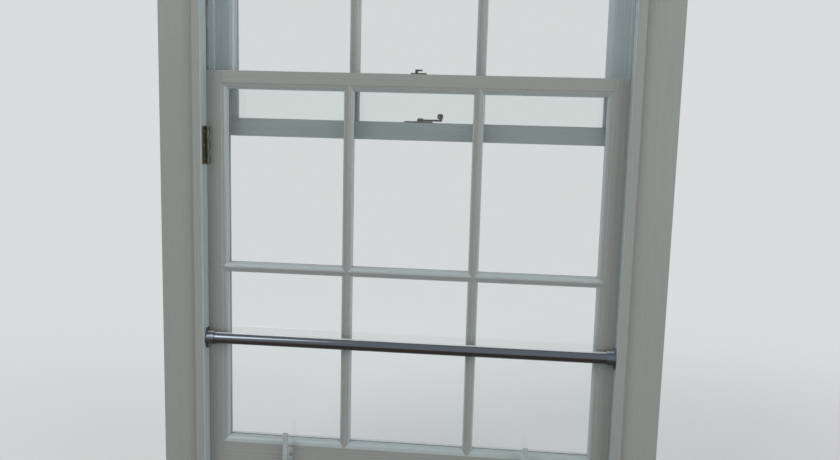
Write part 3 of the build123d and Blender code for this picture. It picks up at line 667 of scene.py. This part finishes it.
class WINDOW_OT_metalwork(bpy.types.Operator):
    """Finish the bar, fastener, hinge, lifts, pulleys, weights and screws."""

    bl_idname = "sash_window.metalwork"
    bl_label = "Finish the metalwork"

    def execute(self, context):
        metal = settings().metal
        dress("safety_bar", plated_steel("polished tube", TUBE_DULLNESS))
        socket = plated_steel("dull socket", SOCKET_DULLNESS)
        for side in SIDES:
            dress(f"bar_socket_{side}", socket)
        bronze = tarnished_bronze("tarnished bronze", metal.bronze)
        for node in ("fastener_plate", "fastener_arm", "fastener_keep"):
            dress(node, bronze)
        dress("hinge_leaf", tarnished_bronze("old hinge", metal.olive))
        painted = painted_iron()
        for node in ("sash_lift_left", "sash_lift_right", "pulley_cases"):
            dress(node, painted)
        brass, iron = turned_brass(), rusted_casting()
        for sash in SASHES:
            for side in SIDES:
                dress(f"{sash}_pulley_{side}", brass)
                dress(f"{sash}_weight_{side}", iron)
        return {"FINISHED"}


class WINDOW_OT_fixings(bpy.types.Operator):
    """Drive the slotted screws, and nail the cords into the stiles."""

    bl_idname = "sash_window.fixings"
    bl_label = "Drive the screws and nails"

    def execute(self, context):
        steel = dull_steel()
        for node, body in (("frame_screws", "frame"), ("lower_screws", "lower_sash")):
            piece = self.screws(f"{node}_slotted", screw_places(node), steel, body)
            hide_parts(node)
        self.screws("hinge_screws", self.hinge_places(), steel, "frame")
        self.screws("pocket_screws", self.pocket_places(), steel, "frame")
        self.screws("plate_screws", self.plate_places(), steel, "upper_sash")
        for sash in SASHES:
            self.nails(sash, steel)
        return {"FINISHED"}

    def screws(self, name, places, steel, body):
        """One piece that holds a screw at each place."""
        points, faces = [], []
        for number, (head, driven) in enumerate(places):
            slotted_screw(points, faces, head, driven, number * SLOT_TURN)
        return mesh_piece(name, points, faces, steel, body, smooth=False)

    def hinge_places(self):
        """Three screws up the hinge's leaf, staggered across it."""
        low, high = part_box("hinge_leaf")
        face_x = low.x + LEAF_THICK
        for step in (-1, 0, 1):
            y = low.y + LEAF_SCREW_IN + (LEAF_STAGGER if step else 0)
            z = (low.z + high.z) / 2 + step * LEAF_SCREW_PITCH
            yield Vector((face_x, y, z)), Vector((-1, 0, 0))

    def pocket_places(self):
        """One screw near the foot and one near the top of each pocket piece."""
        low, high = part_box("pocket_pieces")
        for side, outward in OUTWARD.items():
            stile_low, stile_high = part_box(f"pulley_stile_{side}")
            face_x = stile_low.x if outward > 0 else stile_high.x
            for z in (low.z + POCKET_SCREW_IN, high.z - POCKET_SCREW_IN):
                yield Vector((face_x, (low.y + high.y) / 2, z)), Vector((outward, 0, 0))

    def plate_places(self):
        """Two screws through the fastener's plate."""
        low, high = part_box("fastener_plate")
        y = (low.y + high.y) / 2
        for x in (low.x + PLATE_SCREW_IN, high.x - PLATE_SCREW_IN):
            yield Vector((x, y, low.z + PLATE_THICK)), Vector((0, 0, -1))

    def nails(self, sash, steel):
        """Clout nails through each cord's tail, in the stile's groove."""
        points, faces = [], []
        for side, outward in OUTWARD.items():
            low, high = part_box(f"{sash}_cord_{side}")
            inner_x = low.x if outward > 0 else high.x
            head_x = inner_x + outward * 2 * CORD_RADIUS
            y = (low.y + high.y) / 2
            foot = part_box(f"{sash}_stile_{side}")[1].z - CORD_TAIL
            for number in range(NAILS):
                head = Vector((head_x, y, foot + NAIL_START + number * NAIL_PITCH))
                turned(points, faces, head, Vector((-outward, 0, 0)), NAIL_PROFILE)
        mesh_piece(
            f"{sash}_cord_nails", points, faces, steel, f"{sash}_sash", smooth=False,
        )


def screw_places(node):
    """Middle of each screw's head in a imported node, and the way that the screw is driven."""
    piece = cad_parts[node]
    mesh = bmesh.new()
    mesh.from_mesh(piece.data)
    bmesh.ops.remove_doubles(mesh, verts=mesh.verts, dist=WELD_DISTANCE)
    waiting = set(mesh.verts)
    while waiting:
        island, edge = set(), [waiting.pop()]
        while edge:
            vertex = edge.pop()
            island.add(vertex)
            near = {line.other_vert(vertex) for line in vertex.link_edges} & waiting
            waiting -= near
            edge.extend(near)
        points = [piece.matrix_world @ vertex.co for vertex in island]
        low = Vector([min(point[axis] for point in points) for axis in range(3)])
        high = Vector([max(point[axis] for point in points) for axis in range(3)])
        axis = max(range(3), key=lambda each: high[each] - low[each])
        middle = (low + high) / 2

        def off_axis(point):
            return sum((point - middle)[i] ** 2 for i in range(3) if i != axis)

        widest = max(points, key=off_axis)
        driven = Vector((0, 0, 0))
        driven[axis] = 1 if widest[axis] < middle[axis] else -1
        head = middle.copy()
        head[axis] = low[axis] if driven[axis] > 0 else high[axis]
        yield head, driven
    mesh.free()


def turned(points, faces, head, driven, profile):
    """Add a turned piece: its profile gives each ring's depth below the head and its radius."""
    first = len(points)
    side = driven.orthogonal().normalized()
    other = driven.cross(side)
    for depth, radius in profile:
        for i in range(SCREW_SIDES):
            angle = 2 * pi * i / SCREW_SIDES
            points.append(head + driven * depth + (side * cos(angle) + other * sin(angle)) * radius)
    for ring in range(len(profile) - 1):
        for i in range(SCREW_SIDES):
            a = first + ring * SCREW_SIDES + i
            b = first + ring * SCREW_SIDES + (i + 1) % SCREW_SIDES
            faces.append((b, a, a + SCREW_SIDES, b + SCREW_SIDES))
    last = len(points) - SCREW_SIDES
    faces.append(tuple(first + i for i in range(SCREW_SIDES)))
    faces.append(tuple(last + i for i in reversed(range(SCREW_SIDES))))


def slotted_screw(points, faces, head, driven, turn):
    """Add a countersunk screw: a turned body with a cheek of its head either side of the slot."""
    turned(points, faces, head, driven, SCREW_PROFILE)
    side = driven.orthogonal().normalized()
    other = driven.cross(side)
    bottom, radius = SCREW_PROFILE[0]
    along = side * cos(turn) + other * sin(turn)
    across = driven.cross(along)
    edge = asin(SLOT_WIDTH / 2 / radius)
    for cheek in (1, -1):
        first = len(points)
        count = SCREW_SIDES // 2 + 1
        for depth in (-HEAD_PROUD, bottom):
            for i in range(count):
                angle = edge + (pi - 2 * edge) * i / (count - 1)
                x, y = cos(angle) * radius * cheek, sin(angle) * radius * cheek
                points.append(head + driven * depth + (along * x + across * y))
        for i in range(count):
            a, b = first + i, first + (i + 1) % count
            faces.append((b, a, a + count, b + count))
        faces.append(tuple(first + i for i in range(count)))
        faces.append(tuple(first + count + i for i in reversed(range(count))))


def mesh_piece(name, points, faces, material, body, smooth=True):
    """A new piece from points and faces, riding on a body."""
    mesh = bpy.data.meshes.new(name)
    mesh.from_pydata(points, [], faces)
    mesh.polygons.foreach_set("use_smooth", [smooth] * len(mesh.polygons))
    mesh.materials.append(material)
    piece = bpy.data.objects.new(name, mesh)
    bpy.context.scene.collection.objects.link(piece)
    if body:
        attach(piece, body)
    return piece


def plaited_tube(path, radius, depth, pitch, strands):
    """Points and faces of a plaited cord along a list of (centre, side, other) frames."""
    around = PLAIT_DETAIL * strands
    points, faces = [], []
    travelled = 0.0
    last = path[0][0]
    for centre, side, other in path:
        travelled += (centre - last).length
        last = centre
        turn = 2 * pi * travelled / pitch
        for i in range(around):
            angle = 2 * pi * i / around
            rise = cos(strands / 2 * angle + turn) * cos(strands / 2 * angle - turn)
            reach = radius - depth / 2 + depth / 2 * rise
            points.append(centre + side * (cos(angle) * reach) + other * (sin(angle) * reach))
    for ring in range(len(path) - 1):
        for i in range(around):
            a, b = ring * around + i, ring * around + (i + 1) % around
            faces.append((a, b, b + around, a + around))
    faces.append(tuple(reversed(range(around))))
    faces.append(tuple(range((len(path) - 1) * around, len(path) * around)))
    return points, faces


class WINDOW_OT_cords(bpy.types.Operator):
    """Hang the sash cords, each from its sash over the wheel to a knot in its weight."""

    bl_idname = "sash_window.cords"
    bl_label = "Hang the cords"

    def execute(self, context):
        cotton = plaited_cotton()
        for sash in SASHES:
            for side in SIDES:
                self.hang(sash, side, cotton)
        return {"FINISHED"}

    def hang(self, sash, side, cotton):
        """One cord: two strands that meet a half turn at the wheel's height, and the knot."""
        cord = settings().cord
        low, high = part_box(f"{sash}_cord_{side}")
        wheel_low, wheel_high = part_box(f"{sash}_pulley_{side}")
        wheel = (wheel_low + wheel_high) / 2
        outward = OUTWARD[side]
        sash_x = (low.x if outward > 0 else high.x) + outward * CORD_RADIUS
        weight = sum(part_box(f"{sash}_weight_{side}"), Vector()) / 2
        weight_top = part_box(f"{sash}_weight_{side}")[1].z
        knot_z = weight_top - KNOT_DEPTH
        bend = abs(weight.x - sash_x) / 2
        stile_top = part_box(f"{sash}_stile_{side}")[1].z
        foot = stile_top - CORD_TAIL
        plait = (CORD_RADIUS, cord.plait_depth, cord.plait_pitch, cord.plait_strands)
        x_side, y_side = Vector((1, 0, 0)), Vector((0, 1, 0))

        def upright(x, start_z, end_z):
            count = max(2, round(abs(end_z - start_z) / CORD_STEP))
            for i in range(count + 1):
                z = start_z + (end_z - start_z) * i / count
                yield Vector((x, wheel.y, z)), x_side, y_side

        rise = list(upright(sash_x, foot, wheel.z))
        points, faces = plaited_tube(rise, *plait)
        strand = mesh_piece(f"{sash}_sash_strand_{side}", points, faces, cotton, None)
        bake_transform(strand)
        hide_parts(f"{sash}_cord_{side}")

        count = round(pi * bend / CORD_STEP)
        over = []
        for i in range(count + 1):
            angle = pi * i / count
            away = Vector((-outward * cos(angle), 0, sin(angle)))
            over.append((wheel + away * bend, away * -outward, y_side))
        points, faces = plaited_tube(over, *plait)
        name = f"{sash}_half_turn_{side}"
        half_turn = mesh_piece(name, points, faces, cotton, "frame")
        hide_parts(f"{sash}_cord_{side}")

        drop = list(upright(weight.x, knot_z, wheel.z))
        points, faces = plaited_tube(drop, *plait)
        fall = mesh_piece(f"{sash}_weight_strand_{side}", points, faces, cotton, None)
        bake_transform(fall)
        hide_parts(f"{sash}_cord_{side}")

        knot_at = Vector((weight.x, wheel.y, knot_z))
        points, faces = plaited_tube(list(self.knot_path(knot_at)), KNOT_CORD, *plait[1:])
        name, body = f"{sash}_knot_{side}", f"{sash}_weight_{side}"
        knot = mesh_piece(name, points, faces, cotton, body)
        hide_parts(f"{sash}_cord_{side}")

    def knot_path(self, middle):
        """The run of a tight overhand knot, with its two cross directions."""
        def place(turn):
            x = sin(turn) + 2 * sin(2 * turn)
            y = cos(turn) - 2 * cos(2 * turn)
            return Vector((x, y, -sin(3 * turn))) * KNOT_SIZE

        for i in range(KNOT_STEPS + 1):
            turn = 2 * pi * i / KNOT_STEPS
            ahead = (place(turn + KNOT_GLANCE) - place(turn - KNOT_GLANCE)).normalized()
            side = ahead.cross(place(turn)).normalized()
            yield middle + place(turn), side, ahead.cross(side)


def seen_directly(nodes, links):
    """1 where the eye sees the backdrop, plainly, in gloss or in glass; 0 where it only lights."""
    path = nodes.new("ShaderNodeLightPath")
    share = path.outputs["Is Camera Ray"]
    for ray in ("Is Glossy Ray", "Is Transmission Ray"):
        either = nodes.new("ShaderNodeMath")
        either.operation = "MAXIMUM"
        links.new(share, either.inputs[0])
        links.new(path.outputs[ray], either.inputs[1])
        share = either.outputs[0]
    return share


class WINDOW_OT_stage(bpy.types.Operator):
    """Lay the floor, hang the lamps and set up the camera."""

    bl_idname = "sash_window.stage"
    bl_label = "Set the stage"

    def execute(self, context):
        self.floor()
        self.lamps()
        self.air()
        self.camera()
        return {"FINISHED"}

    def floor(self):
        """A broad pale disc that keeps the window's shadow and fades into the air far off."""
        stage = settings().stage
        bpy.ops.mesh.primitive_circle_add(
            vertices=FLOOR_SIDES, radius=stage.floor_radius, fill_type="NGON",
            location=(0, 0, -FLOOR_DROP),
        )
        floor = bpy.context.object
        floor.name = "floor"
        finish = Finish("pale floor")
        finish.colour(stage.floor)
        finish.set(Roughness=0.9, Specular_IOR_Level=0.1)
        distance = finish.nodes.new("ShaderNodeVectorMath")
        distance.operation = "LENGTH"
        finish.links.new(finish.place, distance.inputs[0])
        far_off = finish.ramp(distance.outputs["Value"], stage.floor_plain, stage.floor_faded)
        air = finish.nodes.new("ShaderNodeEmission")
        air.inputs["Color"].default_value = (*stage.floor, 1.0)
        fade = finish.nodes.new("ShaderNodeMixShader")
        faded = finish.sum("MULTIPLY", far_off, seen_directly(finish.nodes, finish.links))
        finish.links.new(faded, fade.inputs["Fac"])
        finish.links.new(finish.surface.outputs["BSDF"], fade.inputs[1])
        finish.links.new(air.outputs["Emission"], fade.inputs[2])
        finish.links.new(fade.outputs["Shader"], finish.nodes["Material Output"].inputs["Surface"])
        floor.data.materials.append(finish.material)

    def lamps(self):
        """A broad key from the front left, a fill from the right and daylight from behind."""
        for name, setting, place, aim, size in LAMPS:
            self.lamp(name, place, (0, 0, aim), size, getattr(settings().stage, setting))

    def lamp(self, name, place, target, size, power):
        """A square soft lamp that faces a point."""
        data = bpy.data.lights.new(name, "AREA")
        data.shape = "SQUARE"
        data.size = size
        data.energy = power
        lamp = bpy.data.objects.new(name, data)
        bpy.context.scene.collection.objects.link(lamp)
        lamp.location = place
        lamp.visible_camera = lamp.visible_transmission = False
        lamp.rotation_euler = (Vector(target) - Vector(place)).to_track_quat("-Z", "Y").to_euler()

    def air(self):
        """Even light from all round; the camera, gloss and glass see it as a pale backdrop."""
        stage = settings().stage
        world = bpy.data.worlds.new("studio air")
        bpy.context.scene.world = world
        world.use_nodes = True
        nodes, links = world.node_tree.nodes, world.node_tree.links
        background = nodes["Background"]
        strength = nodes.new("ShaderNodeMapRange")
        strength.inputs["To Min"].default_value = stage.air
        strength.inputs["To Max"].default_value = 1.0
        links.new(seen_directly(nodes, links), strength.inputs["Value"])
        links.new(strength.outputs["Result"], background.inputs["Strength"])
        background.inputs["Color"].default_value = (*stage.floor, 1.0)

    def camera(self):
        """A camera where the eye stands, turned by its swing, dip and tilt."""
        stage = settings().stage
        data = bpy.data.cameras.new("eye")
        data.lens = stage.lens
        data.sensor_width = SENSOR_WIDTH
        data.sensor_fit = "HORIZONTAL"
        camera = bpy.data.objects.new("eye", data)
        bpy.context.scene.collection.objects.link(camera)
        turn = Matrix.Rotation(stage.swing, 4, "Z")
        raise_up = Matrix.Rotation(pi / 2 - stage.dip, 4, "X")
        lean = Matrix.Rotation(stage.tilt, 4, "Z")
        camera.matrix_world = Matrix.Translation(stage.eye) @ turn @ raise_up @ lean
        bpy.context.scene.camera = camera
        bpy.context.scene.view_settings.view_transform = "Standard"


STEPS = (
    WINDOW_OT_timber, WINDOW_OT_glazing, WINDOW_OT_metalwork, WINDOW_OT_fixings, WINDOW_OT_cords,
    WINDOW_OT_stage,
)


class WINDOW_PT_panel(bpy.types.Panel):
    """The steps in their order, in the 3D view's sidebar."""

    bl_idname = "WINDOW_PT_panel"
    bl_label = "Sash Window"
    bl_space_type = "VIEW_3D"
    bl_region_type = "UI"
    bl_category = "Sash Window"

    def draw(self, context):
        for step in STEPS:
            self.layout.operator(step.bl_idname)


CLASSES = (
    WINDOW_PG_paint, WINDOW_PG_glass, WINDOW_PG_metal, WINDOW_PG_cord, WINDOW_PG_stage,
    WINDOW_PG_settings, *STEPS, WINDOW_PT_panel,
)


def register():
    """Add the classes and the scene's settings."""
    for each in CLASSES:
        bpy.utils.register_class(each)
    bpy.types.Scene.sash_window = PointerProperty(type=WINDOW_PG_settings)


def unregister():
    """Take them away again."""
    del bpy.types.Scene.sash_window
    for each in reversed(CLASSES):
        bpy.utils.unregister_class(each)


def main():
    """Run every step in order."""
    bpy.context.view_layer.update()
    register()
    bpy.ops.sash_window.timber()
    bpy.ops.sash_window.glazing()
    bpy.ops.sash_window.metalwork()
    bpy.ops.sash_window.fixings()
    bpy.ops.sash_window.cords()
    bpy.ops.sash_window.stage()


if __name__ == "__main__":
    main()
